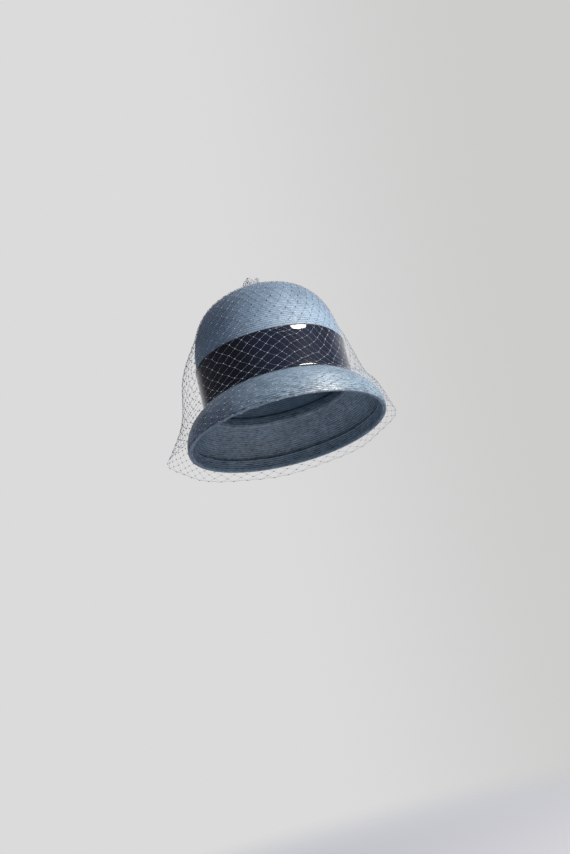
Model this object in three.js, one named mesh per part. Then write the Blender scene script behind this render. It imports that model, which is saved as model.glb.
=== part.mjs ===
import * as THREE from 'three';

// A bubble hat of sewn straw, with a patent band and a net veil, in millimetres.
// +Z runs up the crown, -Y is the front, and left and right are as seen from the
// front, so +X is right. The origin is the middle of the head opening, level with
// the crown's lower edge. Every section is a list of { reach, height } points,
// where reach is the distance from the axis on the side of the hat, and onOval
// lays it round the oval.

// Crown
const crownHalfWidth = 84; // outside, on the side, at the lower edge
const ovalRatio = 1.155; // front-to-back size over side-to-side size
const wallHeight = 33.5; // upright wall between the lower edge and the dome
const crownHeight = 124; // lower edge to the tip of the dome
const domeExponent = 2.78; // 2 is an ellipse, more is squarer at the shoulder
const strawThickness = 1.8;

// Brim
const brimWidth = 28.6; // beyond the crown's wall
const brimDrop = 42; // from the crown's lower edge to the rim, at the sides
const brimDropTilt = 5.5; // more at the back and less at the front
const flareOut = 0.62; // where the brim turns down, as a part of its width
const flareFall = 0.26; // how far it has dropped there, as a part of its drop
const rimRise = 0.38; // the upright stretch above the rim, as a part of the drop
const collarHeight = 9; // sewn inside the crown
const hemThickness = 5.2; // both layers and the fold between them
const hemDepth = 12; // the turned-under edge, up from the rim

// Hat band
const bandHeight = 47;
const bandDip = 6; // how much lower its top edge runs at the right
const bandDipSharpness = 8;
const bandThickness = 1.2;
const bandFoot = 0.4; // its lower edge, above the crown's

// Veil: the outer form of the net
const netThickness = 1;
const netGap = 0.5; // over the crown
const netOnBrim = 1.3; // over the brim
const netTopHeight = 47; // level with the band's top
const netFootHeight = 4; // level with the band's foot
const netKnee = 0.45; // level with this part of the brim's drop
const rippleCount = 8;

// Tuft of gathered net
const tuftHeight = 21;
const tuftLobes = 5;
const tuftLobeDepth = 0.14; // of the radius
const tuftTwist = 0.9; // the turn of its lobes from foot to top

const pieceGap = 0.3;
const sectors = 52;
const tuftSectors = 24;
const domeSteps = 10;
const flareSteps = 7;
const foldSteps = 4;

// How the net hangs, by side: the height where it leaves the crown, its distance
// off the wall at the band's top, at the band's foot, at the brim's knee and at
// the hem, how far the hem hangs below the rim, and how deeply it ripples.
const netRows = [
  { side: 'left', leaves: 88, atTop: 15.5, atFoot: 25, atKnee: 33, atHem: 50, hang: 6, ripple: 2.5 },
  { side: 'front left', leaves: 70, atTop: 5, atFoot: 12, atKnee: 25, atHem: 33, hang: 6, ripple: 1 },
  { side: 'front', leaves: 62, atTop: 3, atFoot: 7, atKnee: 22, atHem: 31, hang: 4, ripple: 0 },
  { side: 'front right', leaves: 58, atTop: 3, atFoot: 10, atKnee: 25, atHem: 32, hang: 4, ripple: 1 },
  { side: 'right', leaves: 60, atTop: 5, atFoot: 17, atKnee: 28, atHem: 37, hang: 5, ripple: 2 },
  { side: 'back right', leaves: 66, atTop: 7, atFoot: 17, atKnee: 27, atHem: 36, hang: 9, ripple: 2.5 },
  { side: 'back', leaves: 74, atTop: 9, atFoot: 20, atKnee: 32, atHem: 40, hang: 10, ripple: 2.5 },
  { side: 'back left', leaves: 84, atTop: 13, atFoot: 24, atKnee: 33, atHem: 44, hang: 8, ripple: 2.5 },
];

// The tuft's radius, from its foot up, by parts of its height.
const tuftRows = [
  { rise: 0.98, radius: 9 },
  { rise: 0.86, radius: 12 },
  { rise: 0.64, radius: 11 },
  { rise: 0.36, radius: 8 },
  { rise: 0.12, radius: 5 },
  { rise: 0, radius: 4.5 },
];

const straw = new THREE.MeshStandardMaterial({ color: 0x6b7f9c, roughness: 0.6, metalness: 0 });
const patent = new THREE.MeshStandardMaterial({ color: 0x11131f, roughness: 0.12, metalness: 0 });
const net = new THREE.MeshStandardMaterial({ color: 0x5a6779, roughness: 0.7, metalness: 0 });

/** Lay a section point on the oval at a bearing, square off the wall beyond the crown. */
function onOval(point, bearing) {
  const inside = Math.min(point.reach, crownHalfWidth);
  const beyond = point.reach - inside;
  const outward = new THREE.Vector2(Math.cos(bearing), Math.sin(bearing) / ovalRatio).normalize();
  return new THREE.Vector3(
    inside * Math.cos(bearing) + beyond * outward.x,
    inside * ovalRatio * Math.sin(bearing) + beyond * outward.y,
    point.height,
  );
}

/** Join rings of equal length into one closed body: with a pole at each end, or back on itself. */
function bodyFromRings(rings, poles = []) {
  const count = rings[0].length;
  const vertices = rings.flat();
  const faces = [];
  const steps = poles.length > 0 ? rings.length - 1 : rings.length;
  const lastRing = (rings.length - 1) * count;
  for (let row = 0; row < steps; row += 1) {
    const here = row * count;
    const below = ((row + 1) % rings.length) * count;
    for (let column = 0; column < count; column += 1) {
      const next = (column + 1) % count;
      faces.push(here + column, below + column, below + next);
      faces.push(here + column, below + next, here + next);
    }
  }
  if (poles.length > 0) {
    const [first, last] = [vertices.length, vertices.length + 1];
    vertices.push(...poles);
    for (let column = 0; column < count; column += 1) {
      const next = (column + 1) % count;
      faces.push(first, column, next);
      faces.push(last, lastRing + next, lastRing + column);
    }
  }
  const geometry = new THREE.BufferGeometry().setFromPoints(vertices);
  geometry.setIndex(faces);
  geometry.computeVertexNormals();
  return geometry;
}

/** The bearings of evenly spaced sectors, anticlockwise from the right. */
function bearingsOf(count) {
  return Array.from({ length: count }, (_, index) => (2 * Math.PI * index) / count);
}

/** Sweep the section that sectionAt(bearing) gives right round the hat. */
function sweepRound(sectionAt, poles) {
  const sections = bearingsOf(sectors).map((bearing) =>
    sectionAt(bearing).map((point) => onOval(point, bearing)),
  );
  const rings = sections[0].map((_, row) => sections.map((section) => section[row]));
  return bodyFromRings(rings, poles);
}

/** Move each point of an open section to the left of its travel. */
function offsetPath(path, distance) {
  return path.map((point, index) => {
    const before = path[Math.max(index - 1, 0)];
    const after = path[Math.min(index + 1, path.length - 1)];
    const along = new THREE.Vector2(after.reach - before.reach, after.height - before.height);
    along.normalize();
    return {
      reach: point.reach - along.y * distance,
      height: point.height + along.x * distance,
    };
  });
}

/** The crown's outer surface at a turn from its shoulder (0) to its tip (pi / 2), lifted off it. */
function domePoint(turn, lift) {
  const rise = crownHeight - wallHeight;
  const out = Math.cos(turn) ** (2 / domeExponent);
  const up = Math.sin(turn) ** (2 / domeExponent);
  const normal = new THREE.Vector2(
    out ** (domeExponent - 1) / crownHalfWidth,
    up ** (domeExponent - 1) / rise,
  ).normalize();
  return {
    reach: crownHalfWidth * out + lift * normal.x,
    height: wallHeight + rise * up + lift * normal.y,
  };
}

/** The section of the dome from near its tip down to its shoulder. */
function domePath(lift) {
  const turns = Array.from({ length: domeSteps }, (_, index) => (Math.PI / 2) * (index / domeSteps));
  return turns.map((turn) => domePoint(turn, lift)).reverse();
}

/** The crown's outer surface at a height on its wall or its dome. */
function wallPoint(height, lift) {
  const up = Math.max(0, (height - wallHeight) / (crownHeight - wallHeight));
  const point = domePoint(Math.asin(up ** (domeExponent / 2)), lift);
  return height > wallHeight ? point : { reach: point.reach, height };
}

/** How far the rim lies below the crown's lower edge at a bearing. */
function dropAt(bearing) {
  return brimDrop + brimDropTilt * Math.sin(bearing);
}

/** The brim's upper surface as a curve of (reach, height) from the crown's wall to the rim. */
function flareAt(bearing) {
  const drop = dropAt(bearing);
  return new THREE.CubicBezierCurve(
    new THREE.Vector2(crownHalfWidth, -pieceGap),
    new THREE.Vector2(crownHalfWidth + flareOut * brimWidth, -flareFall * drop),
    new THREE.Vector2(crownHalfWidth + brimWidth, -(1 - rimRise) * drop),
    new THREE.Vector2(crownHalfWidth + brimWidth, -drop),
  );
}

/** The point a part of the way along a curve, set in from it on the right of its travel. */
function besideCurve(curve, part, inset) {
  const point = curve.getPointAt(part);
  const along = curve.getTangentAt(part);
  return { reach: point.x + along.y * inset, height: point.y - along.x * inset };
}

/** The reach of a curve that falls all the way, at a height. */
function reachAtHeight(curve, height) {
  let [low, high] = [0, 1];
  for (let step = 0; step < 24; step += 1) {
    const middle = (low + high) / 2;
    if (curve.getPoint(middle).y > height) {
      low = middle;
    } else {
      high = middle;
    }
  }
  return curve.getPoint(low).x;
}

/** A smooth value between four evenly spaced ones, a part of the way from the second to the third. */
function blend([before, from, to, after], part) {
  const slopeFrom = (to - before) / 2;
  const slopeTo = (after - from) / 2;
  const square = part * part;
  const cube = square * part;
  return (
    (2 * cube - 3 * square + 1) * from +
    (cube - 2 * square + part) * slopeFrom +
    (3 * square - 2 * cube) * to +
    (cube - square) * slopeTo
  );
}

/** A row of netRows for any bearing, blended smoothly from side to side. */
function netRowAt(bearing) {
  const count = netRows.length;
  const place = (((bearing - Math.PI) / (2 * Math.PI) + 1) * count) % count;
  const first = Math.floor(place);
  const near = [-1, 0, 1, 2].map((step) => netRows[(first + step + count) % count]);
  const columns = Object.keys(netRows[0]).filter((column) => column !== 'side');
  return Object.fromEntries(
    columns.map((column) => [column, blend(near.map((row) => row[column]), place - first)]),
  );
}

/** The free fall of the net from the crown to its hem, as a curve of (reach, height). */
function netFall(row, bearing) {
  const drop = dropAt(bearing);
  const above = wallPoint(row.leaves + 12, 0);
  const leave = wallPoint(row.leaves, 0);
  return new THREE.SplineCurve([
    new THREE.Vector2(above.reach, above.height),
    new THREE.Vector2(leave.reach, leave.height),
    new THREE.Vector2(crownHalfWidth + row.atTop, netTopHeight),
    new THREE.Vector2(crownHalfWidth + row.atFoot, netFootHeight),
    new THREE.Vector2(crownHalfWidth + row.atKnee, -netKnee * drop),
    new THREE.Vector2(crownHalfWidth + row.atHem, -drop - row.hang),
  ]);
}

/** The inner surface of the net at a bearing, from near the tip down to the hem. */
function netPath(bearing) {
  const row = netRowAt(bearing);
  const fall = netFall(row, bearing);
  const flare = flareAt(bearing);
  const hemHeight = -dropAt(bearing) - row.hang;
  const onCrown = domePath(netGap).map((point) => {
    const free = point.height < row.leaves ? reachAtHeight(fall, point.height) : 0;
    return { reach: Math.max(point.reach, free), height: point.height };
  });
  const overBand = [netTopHeight, (netTopHeight + netFootHeight) / 2, netFootHeight];
  const overBrim = [0.2, 0.4, 0.6, 0.8, 1].map((part) => {
    const height = netFootHeight + (hemHeight - netFootHeight) * part;
    const wave = row.ripple * part * part * Math.cos(rippleCount * bearing);
    const free = reachAtHeight(fall, height) + wave;
    return { reach: Math.max(free, reachAtHeight(flare, height) + netOnBrim), height };
  });
  return [
    ...onCrown.slice(0, -1),
    ...overBand.map((height) => ({ reach: reachAtHeight(fall, height), height })),
    ...overBrim,
  ];
}

/** The crown: a hollow straw dome, open below. */
function makeCrown() {
  const section = [
    ...domePath(0),
    { reach: crownHalfWidth, height: 0 },
    { reach: crownHalfWidth - strawThickness, height: 0 },
    ...domePath(-strawThickness).reverse(),
  ];
  const tip = new THREE.Vector3(0, 0, crownHeight);
  const underTip = new THREE.Vector3(0, 0, crownHeight - strawThickness);
  return sweepRound(() => section, [tip, underTip]);
}

/** The brim: a collar inside the crown, a flare that curls down, and its turned-under hem. */
function makeBrim() {
  const collarReach = crownHalfWidth - strawThickness - pieceGap;
  const innerReach = collarReach - strawThickness;
  return sweepRound((bearing) => {
    const flare = flareAt(bearing);
    const hemStart = 1 - hemDepth / flare.getLength();
    const rim = flare.getPoint(1);
    const foldRadius = hemThickness / 2;
    const top = Array.from({ length: flareSteps + 1 }, (_, index) =>
      besideCurve(flare, index / flareSteps, 0),
    );
    const fold = Array.from({ length: foldSteps - 1 }, (_, index) => {
      const turn = (Math.PI * (index + 1)) / foldSteps;
      return {
        reach: rim.x - foldRadius + foldRadius * Math.cos(turn),
        height: rim.y - foldRadius * Math.sin(turn),
      };
    });
    const hem = [1, (1 + hemStart) / 2, hemStart].map((part) => besideCurve(flare, part, hemThickness));
    const under = [1, 0.8, 0.6, 0.4, 0.2].map((part) =>
      besideCurve(flare, part * hemStart, strawThickness),
    );
    return [
      { reach: collarReach, height: collarHeight },
      { reach: collarReach, height: -pieceGap },
      ...top,
      ...fold,
      ...hem,
      ...under,
      { reach: innerReach, height: -pieceGap - strawThickness / 2 },
      { reach: innerReach, height: collarHeight },
    ];
  });
}

/** The hat band: a patent strip round the foot of the crown, with a rolled top edge. */
function makeBand() {
  return sweepRound((bearing) => {
    const dip = bandDip * ((1 + Math.cos(bearing)) / 2) ** bandDipSharpness;
    const top = bandHeight - dip;
    const heights = [top - bandThickness / 2, (wallHeight + top) / 2, wallHeight / 2, bandFoot];
    const outer = heights.map((height) => wallPoint(height, pieceGap + bandThickness));
    const inner = heights.map((height) => wallPoint(height, pieceGap)).reverse();
    const crest = wallPoint(top, pieceGap + bandThickness / 2);
    return [crest, ...outer, ...inner];
  });
}

/** The veil's outer form: a thin bell over the crown and brim, open below. */
function makeVeil() {
  const tip = new THREE.Vector3(0, 0, crownHeight + netGap);
  const overTip = new THREE.Vector3(0, 0, crownHeight + netGap + netThickness);
  return sweepRound((bearing) => {
    const inner = netPath(bearing);
    const outer = offsetPath([{ reach: 0, height: tip.z }, ...inner], netThickness).slice(1);
    return [...outer, ...inner.reverse()];
  }, [overTip, tip]);
}

/** The tuft: the net's gathered top, opening out above its tie in twisted lobes. */
function makeTuft() {
  const foot = crownHeight + netGap + netThickness + pieceGap;
  const rings = tuftRows.map(({ rise, radius }) =>
    bearingsOf(tuftSectors).map((bearing) => {
      const lobe = 1 + tuftLobeDepth * Math.cos(tuftLobes * (bearing + tuftTwist * rise));
      const reach = radius * lobe;
      return new THREE.Vector3(
        reach * Math.cos(bearing),
        reach * Math.sin(bearing),
        foot + rise * tuftHeight,
      );
    }),
  );
  const top = new THREE.Vector3(0, 0, foot + tuftHeight);
  return bodyFromRings(rings, [top, new THREE.Vector3(0, 0, foot)]);
}

/** A named mesh of one piece. */
function piece(name, geometry, material) {
  const mesh = new THREE.Mesh(geometry, material);
  mesh.name = name;
  return mesh;
}

const hat = new THREE.Group();
hat.add(
  piece('crown', makeCrown(), straw),
  piece('brim', makeBrim(), straw.clone()),
  piece('hat_band', makeBand(), patent),
  piece('veil', makeVeil(), net),
  piece('veil_tuft', makeTuft(), net.clone()),
);

export default hat;
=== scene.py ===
"""A bubble hat of sewn straw braid, with a patent hat band and a net veil tied on top.

Metres throughout: +Z runs up the crown, -Y is the front and +X the right as seen from
the front. A bearing is the angle round the hat from +X, so the front is at -90 degrees.
"""

import logging
from dataclasses import dataclass, field
from enum import Enum
from functools import partial
from typing import Callable

import bpy
import numpy as np
from mathutils import Matrix


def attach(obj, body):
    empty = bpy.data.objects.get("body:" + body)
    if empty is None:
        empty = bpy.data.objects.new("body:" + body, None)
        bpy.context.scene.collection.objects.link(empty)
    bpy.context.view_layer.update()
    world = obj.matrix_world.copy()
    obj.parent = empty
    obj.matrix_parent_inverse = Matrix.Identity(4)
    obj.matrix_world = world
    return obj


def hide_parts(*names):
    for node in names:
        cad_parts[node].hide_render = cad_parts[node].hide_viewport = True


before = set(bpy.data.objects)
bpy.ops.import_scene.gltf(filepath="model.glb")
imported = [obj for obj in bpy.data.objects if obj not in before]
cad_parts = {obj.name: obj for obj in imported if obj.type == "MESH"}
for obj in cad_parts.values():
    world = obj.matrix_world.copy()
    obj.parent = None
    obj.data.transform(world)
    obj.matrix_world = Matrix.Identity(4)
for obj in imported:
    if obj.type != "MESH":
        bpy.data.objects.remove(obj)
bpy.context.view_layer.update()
MM = 0.001
LOG = logging.getLogger("bubble_hat")
Array = np.ndarray
Piece = bpy.types.Object
Triple = tuple[float, float, float]


class Lay(Enum):
    """The two families of a net's threads, by how far each slants per half row."""

    RIGHT = 0.5
    LEFT = -0.5


# ---------------------------------------------------------------- small helpers


def linear_colour(code: str) -> tuple[float, float, float, float]:
    """Turn an sRGB hex value into a linear colour with full alpha.

    Args:
        code: Six hex digits with a leading hash.

    Returns:
        Red, green, blue and alpha for a shader socket.
    """
    parts = np.array([int(code[i : i + 2], 16) for i in (1, 3, 5)]) / 255.0
    bent = np.where(parts <= 0.04045, parts / 12.92, ((parts + 0.055) / 1.055) ** 2.4)
    return (*[float(x) for x in bent], 1.0)


def add_node(
    tree: bpy.types.NodeTree, kind: str, inputs: dict | list | None = None, **settings: object
) -> bpy.types.Node:
    """Add a node, set its settings, and give its inputs values or links.

    Args:
        tree: The node tree.
        kind: The node's type name, without the leading ShaderNode.
        inputs: Values by input name or number, or a list in the inputs' own order. A
            value is a number, a colour as sRGB hex, a socket, or a node whose first live
            output is linked.
        settings: Attributes of the node itself.

    Returns:
        The new node.
    """
    node = tree.nodes.new("ShaderNode" + kind)
    for name, value in settings.items():
        setattr(node, name, value)
    for key, value in inputs.items() if isinstance(inputs, dict) else enumerate(inputs or []):
        if isinstance(value, bpy.types.Node):
            value = next(output for output in value.outputs if output.enabled)
        if isinstance(value, bpy.types.NodeSocket):
            tree.links.new(value, node.inputs[key])
        else:
            node.inputs[key].default_value = linear_colour(value) if isinstance(value, str) else value
    return node


def node_adder(holder: bpy.types.Material | bpy.types.World) -> Callable[..., bpy.types.Node]:
    """Empty a node tree and make the function that adds to it.

    Args:
        holder: The material or world.

    Returns:
        The function add_node, for that tree.
    """
    holder.use_nodes = True
    holder.node_tree.nodes.clear()
    return partial(add_node, holder.node_tree)


def smooth_step(low: float, high: float, value: Array) -> Array:
    """Go from 0 at low to 1 at high as 3x squared less 2x cubed."""
    part = np.clip((value - low) / (high - low), 0.0, 1.0)
    return part * part * (3.0 - 2.0 * part)


def unit(vectors: Array) -> Array:
    """Divide each vector by its own length."""
    return vectors / np.maximum(np.linalg.norm(vectors, axis=-1, keepdims=True), 1e-12)


def hermite(before: Array, start: Array, end: Array, after: Array, part: Array) -> Array:
    """Blend start into end by the Catmull-Rom cubic.

    Args:
        before: The value one step before start.
        start: The value at part 0.
        end: The value at part 1.
        after: The value one step past end.
        part: How far along, from 0 to 1.

    Returns:
        The cubic whose slope at each end is half the difference of its neighbours.
    """
    square, cube = part**2, part**3
    slope_in, slope_out = (end - before) / 2, (after - start) / 2
    near = (2 * cube - 3 * square + 1) * start + (cube - 2 * square + part) * slope_in
    return near + (3 * square - 2 * cube) * end + (cube - square) * slope_out


def halve(line: Callable[[Array], Array], goal: Array) -> Array:
    """Find where a falling line reaches a goal, by halving the interval from 0 to 1.

    Args:
        line: Gives the line's height at a part of its way.
        goal: The heights wanted.

    Returns:
        The parts, just short of the goal.
    """
    low, high = np.zeros(np.shape(goal)), np.ones(np.shape(goal))
    for _ in range(18):
        middle = (low + high) / 2
        above = line(middle) > goal
        low, high = np.where(above, middle, low), np.where(above, high, middle)
    return low


def by_column(wanted: Array, rising: Array, values: Array) -> Array:
    """Look up each column of a table by that column's own rising numbers.

    The columns are laid end to end, each shifted past the last, so that one
    interpolation serves them all.

    Args:
        wanted: The numbers to look up, one column for each column of the table.
        rising: The table's numbers, rising down each column.
        values: The table's values.

    Returns:
        The values at the wanted numbers, in the shape of wanted.
    """
    shift = np.arange(rising.shape[1]) * (np.ptp(rising) + 1.0)
    held = np.clip(wanted, rising[0], rising[-1])
    return np.interp(held + shift, (rising + shift).T.ravel(), values.T.ravel())


def mesh_object(name: str, points: Array, quads: Array, quad_uv: Array, fans: Array | None = None) -> Piece:
    """Put arrays of points and faces into a new smooth mesh at the origin.

    Args:
        name: The piece's name.
        points: Points, three numbers each.
        quads: Four point numbers for each face.
        quad_uv: Two numbers for each corner of each quad.
        fans: Three point numbers for each triangle that closes a pole, if any.

    Returns:
        The new object, linked to the scene.
    """
    fans = np.zeros((0, 3), int) if fans is None else fans
    fan_uv = quad_uv[0, 0] + np.zeros((len(fans), 3, 2))
    corners = np.concatenate([quads.ravel(), fans.ravel()])
    starts = np.concatenate([np.arange(len(quads)) * 4, len(quads) * 4 + np.arange(len(fans)) * 3])
    mesh = bpy.data.meshes.new(name)
    mesh.vertices.add(len(points))
    mesh.vertices.foreach_set("co", np.ascontiguousarray(points, np.float32).ravel())
    mesh.loops.add(len(corners))
    mesh.loops.foreach_set("vertex_index", corners.astype(np.int32))
    mesh.polygons.add(len(starts))
    mesh.polygons.foreach_set("loop_start", starts.astype(np.int32))
    mesh.update(calc_edges=True)
    layer = mesh.uv_layers.new(name="lay")
    uv = np.concatenate([quad_uv.reshape(-1, 2), fan_uv.reshape(-1, 2)]).astype(np.float32)
    layer.data.foreach_set("uv", uv.ravel())
    mesh.polygons.foreach_set("use_smooth", np.ones(len(starts), bool))
    mesh.validate()
    piece = bpy.data.objects.new(name, mesh)
    bpy.context.scene.collection.objects.link(piece)
    return piece


def lathe(name: str, rings: Array, rows: Array, plaits: Array, poles: Array | None = None) -> Piece:
    """Skin rings of points that run round the hat.

    The corner of a face takes its along-row number from the face's own row, so a
    whole number of plaits goes round each row and the pattern has no break where it closes.

    Args:
        name: The piece's name.
        rings: Ring by sector by three; the section runs down outside and up inside.
        rows: The straw row number at each ring, and at the last ring's next one.
        plaits: How many plaits go round at each ring.
        poles: The first and last closing points; without them the section closes.

    Returns:
        The new object.
    """
    count, sectors = rings.shape[:2]
    steps = count if poles is None else count - 1
    here = np.arange(steps)[:, None] * sectors
    below = (np.arange(1, steps + 1)[:, None] % count) * sectors
    column = np.arange(sectors)[None]
    after = (column + 1) % sectors
    quads = np.stack([here + column, below + column, below + after, here + after], -1)
    around = np.stack([column, column, column + 1, column + 1], -1) / sectors
    u = around * plaits[:steps, None, None]
    v = np.stack([rows[:steps], rows[1 : steps + 1], rows[1 : steps + 1], rows[:steps]], -1)
    uv = np.stack(np.broadcast_arrays(u, v[:, None, :]), -1)
    points, fans = rings.reshape(-1, 3), None
    if poles is not None:
        first, last, end = len(points), len(points) + 1, (count - 1) * sectors
        top = np.stack([np.full(sectors, first), column[0], after[0]], -1)
        foot = np.stack([np.full(sectors, last), end + after[0], end + column[0]], -1)
        points, fans = np.concatenate([points, poles]), np.concatenate([top, foot])
    return mesh_object(name, points, quads.reshape(-1, 4), uv.reshape(-1, 4, 2), fans)


def tubes(name: str, paths: Array, outward: Array, radius: float, closed: bool = False) -> Piece:
    """Carry a small square section, shaded as round, along many paths at once, as closed tubes.

    Each section's points lie round the path in the plane of the outward direction
    and the direction square to it and to the path.

    Args:
        name: The piece's name.
        paths: Path by sample by three.
        outward: The surface's outward direction at each sample.
        radius: The thread's radius.
        closed: True if each path meets its own start.

    Returns:
        The new object.
    """
    count, samples = paths.shape[:2]
    along = unit(np.roll(paths, -1, 1) - np.roll(paths, 1, 1) if closed else np.gradient(paths, axis=1))
    across = unit(np.cross(along, outward))
    up = np.cross(across, along)
    side = np.arange(4)
    turn = side[:, None] * np.pi / 2
    ring = np.cos(turn) * across[:, :, None] + np.sin(turn) * up[:, :, None]
    ring = ring * radius + paths[:, :, None]
    steps = samples if closed else samples - 1
    base = np.arange(count)[:, None, None] * samples * 4
    here = base + np.arange(steps)[None, :, None] * 4
    there = base + ((np.arange(steps) + 1) % samples)[None, :, None] * 4
    after = (side + 1) % 4
    quads = np.stack([here + side, here + after, there + after, there + side], -1).reshape(-1, 4)
    reach = np.linalg.norm(np.diff(paths, axis=1, append=paths[:, :1]), axis=-1)
    length = np.concatenate([np.zeros((count, 1)), np.cumsum(reach, 1)], 1)
    u = np.stack([side, side + 1, side + 1, side], -1) / 4
    v = np.stack([length[:, :steps]] * 2 + [length[:, 1 : steps + 1]] * 2, -1)
    uv = np.stack(np.broadcast_arrays(u, v[:, :, None]), -1).reshape(-1, 4, 2)
    if not closed:
        ends = np.concatenate([base[:, 0] + side[::-1], base[:, 0] + (samples - 1) * 4 + side])
        quads = np.concatenate([quads, ends])
        uv = np.concatenate([uv, np.zeros((len(ends), 4, 2))])
    return mesh_object(name, ring.reshape(-1, 3), quads, uv)


def knots(name: str, centres: Array, level: Array, outward: Array, size: Triple) -> Piece:
    """Set a small rounded lump at each crossing.

    The lump is three rings of six points between two poles, stretched along its own
    three axes: along the row, down the net and outward.

    Args:
        name: The piece's name.
        centres: Where the knots lie.
        level: The direction along the row at each knot.
        outward: The outward direction at each knot.
        size: The lump's half sizes along its axes.

    Returns:
        The new object.
    """
    axes = np.stack([level, np.cross(outward, level), outward], -2).reshape(-1, 3, 3)
    lift = np.repeat(np.array([0.72, 0.0, -0.72]), 6)
    turn = np.tile(np.arange(6) * np.pi / 3, 3) + np.repeat([0.0, np.pi / 6, 0.0], 6)
    wide = np.sqrt(1 - lift**2)
    shape = np.stack([wide * np.cos(turn), wide * np.sin(turn), lift], -1)
    shape = np.concatenate([shape, [[0, 0, 1.0], [0, 0, -1.0]]]) * np.array(size)
    points = np.einsum("vk,nkd->nvd", shape, axes) + centres.reshape(-1, 1, 3)
    ring = np.arange(6)
    after = (ring + 1) % 6
    band = np.stack([ring, 6 + ring, 6 + after, after], -1)
    bands = np.concatenate([band, band + 6])
    top, foot = np.full(6, 18), np.full(6, 19)
    fans = np.concatenate([np.stack([top, ring, after], -1), np.stack([foot, 12 + after, 12 + ring], -1)])
    base = np.arange(len(points))[:, None, None] * len(shape)
    quads, tris = (base + bands).reshape(-1, 4), (base + fans).reshape(-1, 3)
    return mesh_object(name, points.reshape(-1, 3), quads, np.zeros((len(quads), 4, 2)), tris)


def dress(piece: Piece, material: bpy.types.Material, node: str, words: str) -> None:
    """Finish a piece: its material, its body and the CAD node it stands for.

    Args:
        piece: The piece.
        material: Its finish.
        node: The CAD node that it replaces.
        words: What the log says of it.
    """
    piece.data.materials.append(material)
    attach(piece, "root")
    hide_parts(node)
    faces = piece.data.polygons
    LOG.info("%s: %s, %d triangles", piece.name, words, len(piece.data.loops) - 2 * len(faces))


# ---------------------------------------------------------------- finishes


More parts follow.
